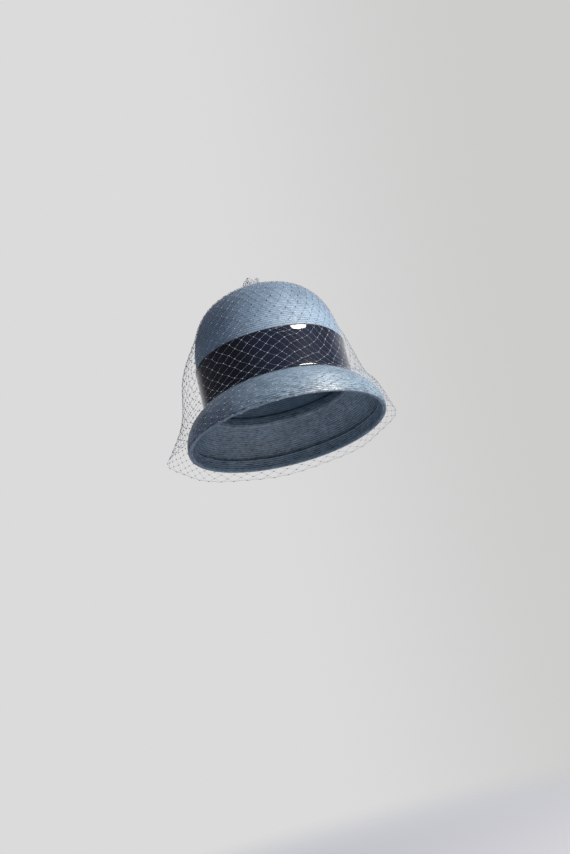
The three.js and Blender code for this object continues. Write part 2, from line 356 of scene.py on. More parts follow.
@dataclass(frozen=True)
class StrawBraid:
    """Dyed straw braid, plaited flat and machine-sewn edge over edge, then blocked and lacquered.

    The eye gets fine rows with a dark line between them, short brighter and duller
    lengths where the straws turn over, a soft broad gloss, and a faint plait.
    """

    name: str
    dark: str = "#596d7e"
    light: str = "#8fa6ba"
    # the colour of the dark between rows: partly the join's own colour, partly painted shade in the groove
    seam_and_shade: str = "#27313f"
    roughness: float = 0.58
    gloss: float = 0.7
    plait_depth: float = 0.3  # how far the plait's crossings stand out, of a whole straw
    middle: float = 0.75  # the tone at which the dye is half way from dark to light
    uneven: float = 0.4  # half the range of tone over which the dye goes from dark to light
    painted_tip_shade: float = 0.0  # painted shade: how much darker the colour is made towards the tip, in tone
    tip_from: float = 52.0 * MM  # the height at which that starts
    tip_full: float = 88.0 * MM  # and at which it is whole
    slit_least: float = 0.12  # how far the dark between two rows reaches into a row, where it is narrow
    slit_most: float = 0.9  # and where it gapes
    slit: float = 8.0 * MM  # how long a gaping stretch is
    dash: float = 4.5 * MM  # how long one straw shows before it turns under
    mottle: float = 26.0 * MM  # patches where the dye took more or less

    def make(self) -> bpy.types.Material:
        """Build the material: row number and plait from the piece's own map, dashes in space.

        Returns:
            The straw material.
        """
        material = bpy.data.materials.new(self.name)
        add = node_adder(material)
        place = add("TexCoord").outputs["Object"]
        plait, row = add("SeparateXYZ", [add("UVMap", uv_map="lay")]).outputs[:2]
        within = add("Math", [row], operation="FRACT")
        number = add("Math", [row], operation="FLOOR")
        # each row draws its own dashes and gaps, as a jump in the noise's fourth direction
        noises = []
        for jump, length in ((7.31, self.dash), (3.17, self.slit)):
            fourth = add("Math", [number, jump], operation="MULTIPLY")
            values = {"Vector": place, "W": fourth, "Scale": 1 / length, "Detail": 2.0, "Roughness": 0.6}
            noises.append(add("TexNoise", values, noise_dimensions="4D"))
        dashes, gape = noises
        dye = add("TexNoise", {"Vector": place, "Scale": 1 / self.mottle, "Detail": 3.0, "Roughness": 0.55})
        patches = add("Math", [dye, 0.55], operation="MULTIPLY")
        tone = add("Math", [dashes, 0.95, patches], operation="MULTIPLY_ADD")
        # painted shade: the colour darkens towards the tip, standing in for the light falling off up the
        # dome
        aloft = add("SeparateXYZ", [place]).outputs[2]
        values = [aloft, self.tip_from, self.tip_full, 0.0, self.painted_tip_shade]
        tip = add("MapRange", values, interpolation_type="SMOOTHSTEP")
        tone = add("Math", [tone, tip], operation="SUBTRACT")
        taken = add("MapRange", [tone, self.middle - self.uneven, self.middle + self.uneven])
        dyed = add("Mix", {0: taken, 6: self.dark, 7: self.light}, data_type="RGBA")
        # the dark between rows: partly the real join, gaping here and there, partly painted shade in the
        # groove under the edge of the row above and at this row's lower edge
        reach = add("MapRange", [gape, 0.5, 0.62, self.slit_least, self.slit_most])
        edge = add("MapRange", [within, 0.02, reach, 0.95, 0.0], interpolation_type="SMOOTHSTEP")
        lip = add("MapRange", [within, 0.93, 1.0, 0.0, 0.7])
        seam_and_shade = add("Math", [edge, lip], operation="MAXIMUM")
        colour = add("Mix", {0: seam_and_shade, 6: dyed, 7: self.seam_and_shade}, data_type="RGBA")
        # the plait: straws cross the row in a herringbone, one crossing to each unit along
        slant = add("Math", [add("Math", [within, 0.5], operation="SUBTRACT")], operation="ABSOLUTE")
        across = add("Math", [slant, 1.6, plait], operation="MULTIPLY_ADD")
        turned = add("Math", [across, 2 * np.pi], operation="MULTIPLY")
        wave = add("Math", [turned], operation="SINE")
        rough_straw = add("Math", [dashes, 1.5, wave], operation="MULTIPLY_ADD")
        height = add("Math", [rough_straw, self.plait_depth], operation="MULTIPLY")
        bump = add("Bump", {"Height": height, "Distance": 0.12 * MM, "Strength": 0.7})
        rough = add("MapRange", [dashes, 0.3, 0.7, self.roughness + 0.1, self.roughness - 0.08])
        values = {"Base Color": colour, "Roughness": rough, "Normal": bump}
        values |= {"IOR": 1.5, "Specular IOR Level": self.gloss}
        add("OutputMaterial", [add("BsdfPrincipled", values)])
        return material


@dataclass(frozen=True)
class PatentLeather:
    """Patent leather: a dark dyed hide or cloth under a thick poured lacquer, polished by its own flow.

    The eye gets a near-black navy, mirror-clear highlights with soft bends in them,
    and pale reflections towards the edges.
    """

    name: str = "patent_leather_poured_lacquer"
    body: str = "#060810"
    edge: str = "#0e1426"
    swell: float = 22.0 * MM  # slow waves in the lacquer over the straw
    peel: float = 2.6 * MM  # the fine ripple that poured lacquer keeps
    dust: float = 0.9 * MM  # specks under the lacquer

    def make(self) -> bpy.types.Material:
        """Build the material: two sizes of ripple under one clear coat.

        Returns:
            The patent material.
        """
        material = bpy.data.materials.new(self.name)
        add = node_adder(material)
        place = add("TexCoord").outputs["Object"]
        noises = []
        for size, detail in ((self.swell, 1.0), (self.peel, 1.0), (self.dust, 3.0)):
            values = {"Vector": place, "Scale": 1 / size, "Detail": detail, "Roughness": 0.5}
            noises.append(add("TexNoise", values))
        swell, peel, dust = noises
        slow = add("Bump", {"Height": swell, "Distance": 0.2 * MM, "Strength": 0.6})
        fine = add("Bump", {"Height": peel, "Distance": 0.006 * MM, "Strength": 0.5, "Normal": slow})
        colour = add("Mix", {0: swell, 6: self.body, 7: self.edge}, data_type="RGBA")
        rough = add("MapRange", [dust, 0.35, 0.75, 0.55, 0.8])
        values = {"Base Color": colour, "Roughness": rough, "Normal": fine, "IOR": 1.5}
        values |= {"Specular IOR Level": 0.08, "Coat Weight": 1.0, "Coat Roughness": 0.05, "Coat IOR": 1.52}
        add("OutputMaterial", [add("BsdfPrincipled", values)])
        return material


@dataclass(frozen=True)
class NetThread:
    """Millinery net: fine two-ply twisted viscose, dyed, knotted into diamonds.

    The eye gets matt blue-grey threads with a slight sheen and a twist, and knots a
    little lighter than the thread.
    """

    name: str
    dark: str = "#7a8290"
    light: str = "#9ea5b1"
    ply: float = 1.3 * MM  # one turn of the twist
    mottle: float = 9.0 * MM  # lengths where the dye took more or less

    def make(self) -> bpy.types.Material:
        """Build the material: the twist runs round and along each thread.

        Returns:
            The thread material.
        """
        material = bpy.data.materials.new(self.name)
        add = node_adder(material)
        place = add("TexCoord").outputs["Object"]
        around, along = add("SeparateXYZ", [add("UVMap", uv_map="lay")]).outputs[:2]
        turned = add("Math", [along, 1 / self.ply, around], operation="MULTIPLY_ADD")
        wound = add("Math", [turned, 4 * np.pi], operation="MULTIPLY")
        twist = add("Math", [wound], operation="SINE")
        dye = add("TexNoise", {"Vector": place, "Scale": 1 / self.mottle, "Detail": 2.0, "Roughness": 0.6})
        tone = add("Math", [twist, 0.12, dye], operation="MULTIPLY_ADD")
        colour = add("Mix", {0: tone, 6: self.dark, 7: self.light}, data_type="RGBA")
        bump = add("Bump", {"Height": twist, "Distance": 0.08 * MM, "Strength": 0.6})
        values = {"Base Color": colour, "Roughness": 0.55, "Normal": bump, "IOR": 1.5}
        values |= {"Sheen Weight": 0.25, "Sheen Roughness": 0.35}
        add("OutputMaterial", [add("BsdfPrincipled", values)])
        return material


# ---------------------------------------------------------------- the hat's form


@dataclass(frozen=True)
class HatForm:
    """The sizes that every piece shares, and the surfaces they give."""

    half_width: float = 84.0 * MM
    oval: float = 1.155  # front to back over side to side
    wall: float = 33.5 * MM  # the upright part of the crown, up to its shoulder
    height: float = 124.0 * MM
    squareness: float = 2.78  # 2 would make the dome a plain ellipse
    straw: float = 1.8 * MM
    gap: float = 0.3 * MM
    brim_width: float = 28.6 * MM
    brim_drop: float = 42.0 * MM
    brim_tilt: float = 5.5 * MM  # how much less the rim drops in front, and more behind
    flare_out: float = 0.62  # the curve's second point, of the brim's width
    flare_fall: float = 0.26  # and of its drop
    rim_rise: float = 0.38  # the third point's height over the rim, of the drop

    def on_oval(self, reach: Array, height: Array, bearing: Array) -> Array:
        """Lay section points on the oval.

        Up to the crown's wall the oval is a scaled circle; beyond it a point goes on
        square off the wall.

        Args:
            reach: Distance from the axis on the side of the hat.
            height: Height above the head opening.
            bearing: Angle round the hat.

        Returns:
            Points, in the broadcast shape with a last axis of three.
        """
        reach, height, bearing = np.broadcast_arrays(reach, height, bearing)
        inside = np.minimum(reach, self.half_width)
        beyond = reach - inside
        out = unit(np.stack([np.cos(bearing), np.sin(bearing) / self.oval], -1))
        x = inside * np.cos(bearing) + beyond * out[..., 0]
        y = inside * self.oval * np.sin(bearing) + beyond * out[..., 1]
        return np.stack([x, y, height], -1)

    def dome(self, turn: Array, lift: float = 0.0) -> tuple[Array, ...]:
        """The crown's section, a superellipse: cosine and sine raised to two over its squareness.

        Args:
            turn: 0 at the shoulder, a quarter turn at the tip.
            lift: How far off the straw, square to it.

        Returns:
            Reach, height, and the outward direction's two parts.
        """
        rise, power = self.height - self.wall, 2 / self.squareness
        out, up = np.clip(np.cos(turn), 0, 1) ** power, np.clip(np.sin(turn), 0, 1) ** power
        across, aloft = out ** (self.squareness - 1) / self.half_width, up ** (self.squareness - 1) / rise
        size = np.hypot(across, aloft)
        across, aloft = across / size, aloft / size
        return self.half_width * out + lift * across, self.wall + rise * up + lift * aloft, across, aloft

    def dome_at(self, height: Array, lift: float) -> tuple[Array, Array]:
        """The crown's wall or dome at a height.

        Args:
            height: Height above the head opening.
            lift: How far off the straw, square to it.

        Returns:
            Reach and height.
        """
        up = np.clip((height - self.wall) / (self.height - self.wall), 0.0, 1.0)
        reach, raised = self.dome(np.arcsin(up ** (self.squareness / 2)), lift)[:2]
        return reach, np.where(height > self.wall, raised, height)

    def crown_line(self) -> Array:
        """The crown's whole section from its tip to its lower edge.

        Returns:
            Rows of length so far, reach, height and the outward direction's two parts.
        """
        dome = np.stack(self.dome(np.linspace(np.pi / 2, 0, 6000)), -1)
        down = np.linspace(self.wall, 0, 200)[1:]
        wall = np.stack([0 * down + self.half_width, down, 0 * down + 1.0, 0 * down], -1)
        line = np.concatenate([dome, wall])
        length = np.concatenate([[0], np.cumsum(np.hypot(*np.diff(line[:, :2], axis=0).T))])
        return np.concatenate([length[:, None], line], 1)

    def drop(self, bearing: Array) -> Array:
        """How far the rim lies below the crown's lower edge."""
        return self.brim_drop + self.brim_tilt * np.sin(bearing)

    def flare(self, part: Array, bearing: Array) -> tuple[Array, ...]:
        """The brim's upper surface, a cubic Bezier from the crown's wall to the rim.

        Args:
            part: 0 at the wall, 1 at the rim.
            bearing: Angle round the hat.

        Returns:
            Reach, height, and the downhill direction's two parts.
        """
        fall, start, end = self.drop(bearing), self.half_width, self.half_width + self.brim_width
        across = [start, start + self.flare_out * self.brim_width, end, end]
        down = [-self.gap, -self.flare_fall * fall, -(1 - self.rim_rise) * fall, -fall]
        rest = 1 - part
        weights = [rest**3, 3 * rest**2 * part, 3 * rest * part**2, part**3]
        slopes = [-3 * rest**2, 3 * rest**2 - 6 * rest * part, 6 * rest * part - 3 * part**2, 3 * part**2]
        reach = sum(w * x for w, x in zip(weights, across))
        height = sum(w * x for w, x in zip(weights, down))
        run = sum(w * x for w, x in zip(slopes, across))
        sink = sum(w * x for w, x in zip(slopes, down))
        size = np.hypot(run, sink)
        return reach, height, run / size, sink / size

    def flare_reach(self, height: Array, bearing: Array) -> Array:
        """The flare's reach at a height and bearing."""
        return self.flare(halve(lambda part: self.flare(part, bearing)[1], height), bearing)[0]


@dataclass
class RowRelief:
    """One straw row's cross-section: a low bead, pinched where the stitches draw two rows together."""

    pitch: float = 2.3 * MM
    depth: float = 0.2 * MM
    places: tuple[float, ...] = (0.0, 0.13, 0.45, 0.8, 0.94)
    lifts: tuple[float, ...] = (-1.0, -0.15, 0.2, 0.05, -0.35)

    def rows(self, first: int, last: int) -> tuple[Array, Array]:
        """Row numbers with fractions, up to but without the last, and how far each stands proud."""
        number = np.arange(first, last)[:, None] + np.array(self.places)[None]
        return number.ravel(), np.tile(np.array(self.lifts) * self.depth, last - first)


# ---------------------------------------------------------------- straw pieces


@dataclass
class StrawCrown:
    """The crown: rows of braid from the tip down, and a smoother inside."""

    form: HatForm
    finish: StrawBraid
    relief: RowRelief = field(default_factory=RowRelief)
    sectors: int = 264
    covered: float = 37.0 * MM  # below this height the band hides the rows
    plait: float = 1.9 * MM
    stray: float = 0.25 * MM  # how far a row wanders from its even place
    swell: float = 0.2  # how much its bead swells and thins round the hat

    def build(self) -> Piece:
        """Sew the crown.

        Each ring lies at a length down the section; it stands off the section by its
        row's lift, which swells and thins slowly round the hat.

        Returns:
            The finished crown.
        """
        form, line = self.form, self.form.crown_line()
        total = line[-1, 0]
        seen = int(np.interp(-self.covered, -line[:, 2], line[:, 0]) / self.relief.pitch)
        rows, lift = self.relief.rows(0, seen)
        rows, lift = rows[1:], lift[1:]
        hidden = np.linspace(seen, total / self.relief.pitch, 9)
        rows, lift = np.concatenate([rows, hidden]), np.concatenate([lift, 0 * hidden - 0.2 * MM])
        bearing = 2 * np.pi * np.arange(self.sectors) / self.sectors
        wander = self.stray * (np.sin(3 * bearing + 1.1) + 0.6 * np.sin(7 * bearing + rows[:, None] * 0.35))
        fade = smooth_step(6 * MM, 30 * MM, rows * self.relief.pitch)
        fade *= 1 - smooth_step(total - 22 * MM, total - 4 * MM, rows * self.relief.pitch)
        length = np.clip(rows[:, None] * self.relief.pitch + wander * fade[:, None], 0, total)
        at = [np.interp(length, line[:, 0], line[:, k]) for k in (1, 2, 3, 4)]
        proud = lift[:, None] * (1 + self.swell * np.sin(5 * bearing + rows[:, None] * 0.9))
        outside = form.on_oval(at[0] + at[2] * proud, at[1] + at[3] * proud, bearing)
        inner = np.concatenate([np.linspace(total, total * 0.72, 14), np.linspace(total * 0.7, 2 * MM, 30)])
        deep = [np.interp(inner, line[:, 0], line[:, k])[:, None] for k in (1, 2, 3, 4)]
        inside = form.on_oval(deep[0] - deep[2] * form.straw, deep[1] - deep[3] * form.straw, bearing)
        rings = np.concatenate([outside, inside])
        numbers = np.concatenate([rows, inner / self.relief.pitch])
        girth = 2 * np.pi * np.concatenate([at[0][:, 0], deep[0][:, 0]])
        poles = np.array([[0, 0, form.height], [0, 0, form.height - form.straw]])
        plaits = np.maximum(np.round(girth / self.plait), 6)
        piece = lathe("crown_braid", rings, numbers, plaits, poles)
        dress(piece, self.finish.make(), "crown", f"{seen} rows in sight")
        return piece


@dataclass
class StrawBrim:
    """The brim: rows that follow the rim, a fold round its edge, and a turned-under hem."""

    form: HatForm
    finish: StrawBraid
    relief: RowRelief = field(default_factory=RowRelief)
    sectors: int = 280
    row_count: int = 22
    hem_rows: int = 5
    under_rows: int = 16
    hem: float = 5.2 * MM
    collar: float = 9.0 * MM
    plait: float = 1.9 * MM
    stray: tuple[float, float] = (0.12, 0.07)  # how far a row wanders, in rows, by two waves
    swell: float = 0.2  # how much its bead swells and thins round the hat
    hem_relief: float = 0.7  # how much of the rows' relief the hem keeps
    under_relief: float = 0.5  # and the rest of the underside

    def build(self) -> Piece:
        """Sew the brim as one closed section swept round the hat.

        The flare is divided into equal rows by its own length at each bearing. Each
        ring stands off the flare, or off the same curve set in by the straw's or the
        hem's thickness, by its row's lift.

        Returns:
            The finished brim.
        """
        form = self.form
        bearing = 2 * np.pi * np.arange(self.sectors) / self.sectors
        steps = np.linspace(0, 1, 160)[:, None] + 0 * bearing
        x, z = form.flare(steps, bearing)[:2]
        length = np.concatenate([0 * x[:1], np.cumsum(np.hypot(np.diff(x, axis=0), np.diff(z, axis=0)), 0)])
        total = length[-1]

        def beside(rows: Array, inset: float, lift: Array) -> tuple[Array, Array]:
            """Points at row numbers down the flare, set in from it.

            Args:
                rows: Row numbers with fractions.
                inset: How far in from the flare.
                lift: How much farther in, by row.

            Returns:
                Reach and height.
            """
            wave = self.stray[0] * np.sin(4 * bearing + 0.6)
            wave = wave + self.stray[1] * np.sin(9 * bearing + rows[:, None] * 0.4)
            calm = np.sin(np.pi * np.clip(rows / self.row_count, 0, 1))[:, None]
            want = (rows[:, None] + wave * calm) / self.row_count * total
            reach, height, run, sink = form.flare(by_column(want, length, steps), bearing)
            off = inset + lift[:, None] * (1 + self.swell * np.sin(6 * bearing + rows[:, None]))
            return reach + sink * off, height - run * off

        rows, lift = self.relief.rows(0, self.row_count)
        top = beside(rows, 0.0, -lift)
        turn = np.linspace(0, np.pi, 11)[:, None]
        fold = self.hem / 2
        crease = 1 - 0.1 * np.cos(turn * 4)
        rim = form.flare(np.ones(self.sectors), bearing)
        round_x = rim[0] - fold + fold * crease * np.cos(turn)
        round_z = rim[1] - fold * crease * np.sin(turn)
        back, back_lift = self.relief.rows(self.row_count - self.hem_rows, self.row_count)
        hem = beside(back[::-1], self.hem, back_lift[::-1] * self.hem_relief)
        start = self.row_count - self.hem_rows
        under, under_lift = self.relief.rows(start - self.under_rows, start)
        flat = beside(under[::-1], form.straw, under_lift[::-1] * self.under_relief)
        collar = form.half_width - form.straw - form.gap
        inner = collar - form.straw
        upright = np.linspace(self.collar, -form.gap, 4)[:, None] + 0 * bearing
        lining = np.linspace(-form.gap - form.straw / 2, self.collar, 5)[:, None] + 0 * bearing
        reach = np.concatenate([collar + 0 * upright, top[0], round_x, hem[0], flat[0], inner + 0 * lining])
        height = np.concatenate([upright, top[1], round_z, hem[1], flat[1], lining])
        rings = form.on_oval(reach, height, bearing)
        numbers = [np.linspace(-4, 0, len(upright)), rows, self.row_count + np.linspace(0, 2, len(turn))]
        # the hidden rows go by numbers of their own, so that they draw other dashes
        numbers += [back[::-1] + 40, under[::-1] + 40, 40 - np.linspace(0, 4, len(lining)), [36.0]]
        plaits = np.round(2 * np.pi * reach.mean(1) / self.plait)
        piece = lathe("brim_braid", rings, np.concatenate(numbers), plaits)
        words = f"{self.row_count} rows over, {self.hem_rows} turned under"
        dress(piece, self.finish.make(), "brim", words)
        return piece


@dataclass
class PatentBand:
    """The hat band: a patent strip with rolled edges, lapped at the back."""

    form: HatForm
    finish: PatentLeather
    top: float = 47.0 * MM
    foot: float = 0.4 * MM
    dip: float = 6.0 * MM
    dip_sharpness: float = 8.0
    thickness: float = 1.2 * MM
    spring: float = 5.6 * MM  # the top edge springs away from the straw over this height
    spring_out: float = 0.55 * MM
    edge_round: float = 0.8 * MM
    foot_round: float = 0.7 * MM
    edge_wave: float = 0.25 * MM  # how far the top edge wanders up and down
    turned_in: float = 0.9  # how far an edge turns in to the straw, of the thickness
    lap: float = 0.9 * MM
    lap_bearing: float = np.radians(97.0)
    sectors: int = 300

    def build(self) -> Piece:
        """Wrap the band round the foot of the crown.

        The outside stands off the crown by the band's thickness, springing out a little
        over its top, and turns in towards the straw over each edge as a quarter ellipse.
        One end rides over the other at the lap: a quick step up and a slow fall.

        Returns:
            The finished band.
        """
        form = self.form
        bearing = 2 * np.pi * np.arange(self.sectors) / self.sectors
        crest = self.top - self.dip * ((1 + np.cos(bearing)) / 2) ** self.dip_sharpness
        crest = crest + self.edge_wave * np.sin(5 * bearing + 0.4)
        edge = np.linspace(np.pi / 2, 0, 7)[:-1, None]
        spring = np.linspace(1, 0, 9)[:, None]
        # the last ring lies close to the roll, which so keeps its bend to itself
        body = np.append(np.linspace(1, 0.02, 19)[1:], 0.0)[:, None]
        tuck = np.linspace(0, np.pi / 2, 7)[1:, None]
        shoulder, bend = crest - self.edge_round, crest - self.edge_round - self.spring
        low = self.foot + self.foot_round
        rolled = [shoulder + self.edge_round * np.sin(edge), bend + self.spring * spring]
        upright = [low + (bend - low) * body, low - self.foot_round * np.sin(tuck) + 0 * bearing]
        height = np.concatenate(rolled + upright)
        out = self.spring_out * np.concatenate([1 + 0 * edge, spring**1.4, 0 * body, 0 * tuck])
        tucked = np.concatenate([1 - np.cos(edge), 0 * spring, 0 * body, 1 - np.cos(tuck)])
        full = self.thickness + out - tucked * self.turned_in * self.thickness + 0 * bearing
        past = (bearing - self.lap_bearing + np.pi) % (2 * np.pi) - np.pi
        step = smooth_step(-0.004, 0.004, past) * (1 - smooth_step(0.1, 0.42, past))
        off = form.gap + full * (1 + self.lap / self.thickness * step)
        reach, raised = form.dome_at(height, 0.0)
        far, far_raised = form.dome_at(height, MM)
        slope, climb = (far - reach) / MM, (far_raised - raised) / MM
        outer = form.on_oval(reach + slope * off, raised + climb * off, bearing)
        inside = np.linspace(0, 1, 8)[:, None]
        back = self.foot + (crest - self.foot) * inside
        near, near_raised = form.dome_at(back, form.gap)
        inner = form.on_oval(near, near_raised, bearing)
        rings = np.concatenate([outer, inner])
        piece = lathe("band_patent", rings, np.arange(len(rings) + 1) * 1.0, np.full(len(rings), 20.0))
        dress(piece, self.finish.make(), "hat_band", "lapped at the back")
        return piece


# ---------------------------------------------------------------- net pieces


@dataclass
class Net:
    """A net knotted into diamonds, with half rows of knots down it and columns round it."""

    form: HatForm
    finish: NetThread
    columns: int = 46
    half_rows: int = 42
    samples: int = 5  # places on a thread from knot to knot
    thread: float = 0.175 * MM
    loose: tuple[float, float] = (0.07, 0.045)  # how far knots stray, in half rows and columns
    knot_size: Triple = (0.84 * MM, 0.64 * MM, 0.54 * MM)
    shut_width: float = 0.25 * MM  # the width one thread takes up when the net is pulled shut

    def strays(self, seed: int) -> Array:
        """Draw how far each knot strays from its place; the first row stays.

        Args:
            seed: The draw's seed.

        Returns:
            Shifts in rows and columns, by column and half row.
        """
        shape = (2, self.columns, self.half_rows + 1)
        jitter = np.random.default_rng(seed).normal(0, 1, shape) * np.array(self.loose)[:, None, None]
        jitter[:, :, 0] = 0
        return jitter

    def courses(self, rows: Array, jitter: Array) -> Array:
        """Where the threads run, in half rows and columns.

        A thread slants by half a column a half row. Between two knots it runs straight in
        rows and columns, with the knots' own small shifts.

        Args:
            rows: The half rows down each thread at which to give its place.
            jitter: The knots' shifts.

        Returns:
            Half rows and columns, thread by place.
        """
        knot, index = np.arange(self.half_rows + 1), np.arange(self.columns)[:, None]
        before = np.minimum(np.floor(rows).astype(int), self.half_rows - 1)
        part, runs = rows - before, []
        for lay in Lay:
            shift = knot // 2 if lay is Lay.RIGHT else -((knot + 1) // 2)
            moved = jitter[:, (index + shift) % self.columns, knot[None]]
            lean = moved[:, :, before] * (1 - part) + moved[:, :, before + 1] * part
            runs.append(np.stack([rows + lean[0], index + lay.value * rows + lean[1]]))
        return np.concatenate(runs, 1)

    def crossings(self, jitter: Array) -> tuple[Array, Array]:
        """Where the knots lie, in half rows and columns.

        Args:
            jitter: The knots' shifts.

        Returns:
            Half rows and columns, column by half row.
        """
        crossing = np.arange(1, self.half_rows + 1)[None] + 0 * np.arange(self.columns)[:, None]
        around = np.arange(self.columns)[:, None] + (crossing % 2) / 2 + jitter[1, :, 1:]
        return crossing + jitter[0, :, 1:], around

    def finish_off(self, pieces: list[Piece], slot: str, node: str, length: float, under: list[str]) -> None:
        """Args:
            pieces: The threads, the knots and the cord.
            slot: Not used.
            node: The CAD node that they replace.
            length: Not used.
            under: Not used.
        """
        cloth = self.finish.make()
        words = (f"{2 * self.columns} threads", f"{self.columns * self.half_rows} knots", "one cord")
        for piece, said in zip(pieces, words):
            dress(piece, cloth, node, said)


@dataclass
class NetVeil(Net):
    """The veil: a knotted net gathered at the tip, over the crown, band and brim to a loose hem."""

    level_row: int = 24  # the half row that lies level, part of the way up the band
    level: float = 30.0 * MM
    phase: float = 0.3  # how far round the first column starts, in columns
    side: float = 9.0 * MM
    least_row: float = 3.0 * MM  # the least height of a half row
    off: float = 0.8 * MM  # how far the net lies off the crown
    off_brim: float = 1.9 * MM  # off the brim
    off_free: float = 0.45 * MM  # and outside the falls below
    over_top: float = 47.0 * MM  # the height of the band's top, for the falls
    over_foot: float = 4.0 * MM  # of its foot
    knee: float = 0.45  # and how far down the brim its knee lies
    ripples: int = 8
    joint: float = 118.0 * MM  # above this height the path follows the dome's turn
    neck: float = 3.6 * MM  # how far from the tip the threads leave the tie
    sag_above: float = 16.0 * MM  # how far the pleat draws the rows down, above the band
    sag_below: float = 22.0 * MM  # and beside it
    hem_cord: float = 0.27 * MM
    scallop: float = 0.25  # how far the hem's cord rises between two points, in half rows
    bearings: int = 240  # columns in the table of rows
    row_table: Array = field(init=False)  # half rows by way and bearing
    way_table: Array = field(init=False)  # the way at each of the table's rows
    # By side of the hat from the left round by the front: where the net leaves the
    # crown, its distance off the wall at the band's top and foot, the brim's knee and
    # the hem, how far the hem hangs below the rim, and how deeply it ripples, in mm.
    falls: tuple[tuple[float, ...], ...] = (
        (88, 15.5, 25, 33, 50, 6, 2.5),
        (70, 5, 12, 25, 33, 6, 1),
        (62, 3, 7, 22, 31, 4, 0),
        (58, 3, 10, 25, 32, 4, 1),
        (60, 5, 17, 28, 37, 5, 2),
        (66, 7, 17, 27, 36, 9, 2.5),
        (74, 9, 20, 32, 40, 10, 2.5),
        (84, 13, 24, 33, 44, 8, 2.5),
    )

    def hang(self, bearing: Array) -> Array:
        """The seven numbers of falls at any bearing, blended from side to side.

        Args:
            bearing: Angle round the hat.

        Returns:
            Seven arrays in the bearing's shape, in metres.
        """
        table = np.array(self.falls) * MM
        count = len(table)
        place = (((bearing - np.pi) / (2 * np.pi) + 1) * count) % count
        first = np.floor(place).astype(int)
        near = [np.moveaxis(table[(first + step) % count], -1, 0) for step in (-1, 0, 1, 2)]
        return hermite(*near, place - first)

    def free_reach(self, height: Array, bearing: Array, hang: Array) -> Array:
        """The reach of the free-hanging net at a height.

        The net falls along a Catmull-Rom line through six points: two on the crown,
        then level with the band's top and foot, the brim's knee and the hem.

        Args:
            height: Height above the head opening.
            bearing: Angle round the hat, in height's shape.
            hang: The numbers that hang gives there.

        Returns:
            The reach, in height's shape.
        """
        form = self.form
        leaves, at_top, at_foot, at_knee, at_hem, below, _ = hang
        drop, flat = form.drop(bearing), np.zeros(np.shape(bearing))
        above_reach, above_height = form.dome_at(leaves + 12 * MM, 0.0)
        leave_reach, leave_height = form.dome_at(leaves, 0.0)
        across = [above_reach, leave_reach]
        across += [form.half_width + x for x in (at_top, at_foot, at_knee, at_hem)]
        down = [above_height, leave_height, flat + self.over_top, flat + self.over_foot]
        down += [-self.knee * drop, -drop - below]
        across = np.stack([across[0], *across, across[-1]])
        down = np.stack([down[0], *down, down[-1]])

        def at(line: Array, part: Array) -> Array:
            """One coordinate of the line.

            Args:
                line: That coordinate of the points, with both ends repeated.
                part: How far along the line, from 0 to 1.

            Returns:
                The coordinate, in part's shape.
            """
            first = np.clip(np.floor(part * 5).astype(int), 0, 4)
            near = [np.take_along_axis(line, (first + k)[None], 0)[0] for k in range(4)]
            return hermite(*near, part * 5 - first)

        return at(across, halve(lambda part: at(down, part), height))

    def section(self, way: Array, bearing: Array, warped: bool = True) -> tuple[Array, ...]:
        """A point of the net's surface.

        Args:
            way: 0 to 1 from the tip down the dome, then 1 to 2 by equal heights to the hem.
            bearing: Angle round the hat.
            warped: True to slide the net along itself as its folds do.

        Returns:
            Reach and height.
        """
        form = self.form
        hang = self.hang(bearing)
        drop = form.drop(bearing)
        hem = -drop - hang[5]
        joint_part = (self.joint - form.wall) / (form.height - form.wall)
        joint_turn = np.arcsin(joint_part ** (form.squareness / 2))
        turn = np.pi / 2 + (joint_turn - np.pi / 2) * np.clip(way, 0, 1)
        dome_reach, dome_height = form.dome(turn, self.off)[:2]
        height = self.joint + (hem - self.joint) * np.clip(way - 1, 0, 1)
        if warped:
            height = self.slide(height, bearing)
        wall_reach, wall_height = form.dome_at(height, self.off)
        free = self.free_reach(height, bearing, hang) + self.off_free
        part = np.clip((self.over_foot - height) / (self.over_foot - hem), 0, 1)
        free = free + hang[6] * part**2 * np.cos(self.ripples * bearing)
        on_wall = np.where(height < hang[0], np.maximum(free, wall_reach), wall_reach)
        on_brim = np.maximum(free, form.flare_reach(height, bearing) + self.off_brim)
        reach = np.where(height > self.over_foot, on_wall, on_brim)
        aloft = np.where((height > form.wall) & (reach <= wall_reach + 1e-6), wall_height, height)
        return np.where(way < 1, dome_reach, reach), np.where(way < 1, dome_height, aloft)

    def slide(self, height: Array, bearing: Array) -> Array:
        """Slide the net's rows down its own surface where a pleat at the front right draws them.

        The rows sag from the front to the right as two smooth steps of the bearing, the
        upper one starting sooner. The sag fades out to the tip and below the band's
        foot, where the rows crowd together.

        Args:
            height: The rows' even heights.
            bearing: Angle round the hat.

        Returns:
            The rows' real heights.
        """
        degrees = (np.degrees(bearing) + 180) % 360 - 180
        back = 1 - smooth_step(-32, 40, degrees)
        upper = self.sag_above * smooth_step(-112, -74, degrees) * back
        lower = self.sag_below * smooth_step(-93, -51, degrees) * back
        sag = lower + (upper - lower) * smooth_step(34 * MM, 62 * MM, height)
        fade = smooth_step(-20 * MM, 20 * MM, height) * (1 - smooth_step(70 * MM, 118 * MM, height))
        return height - sag * fade

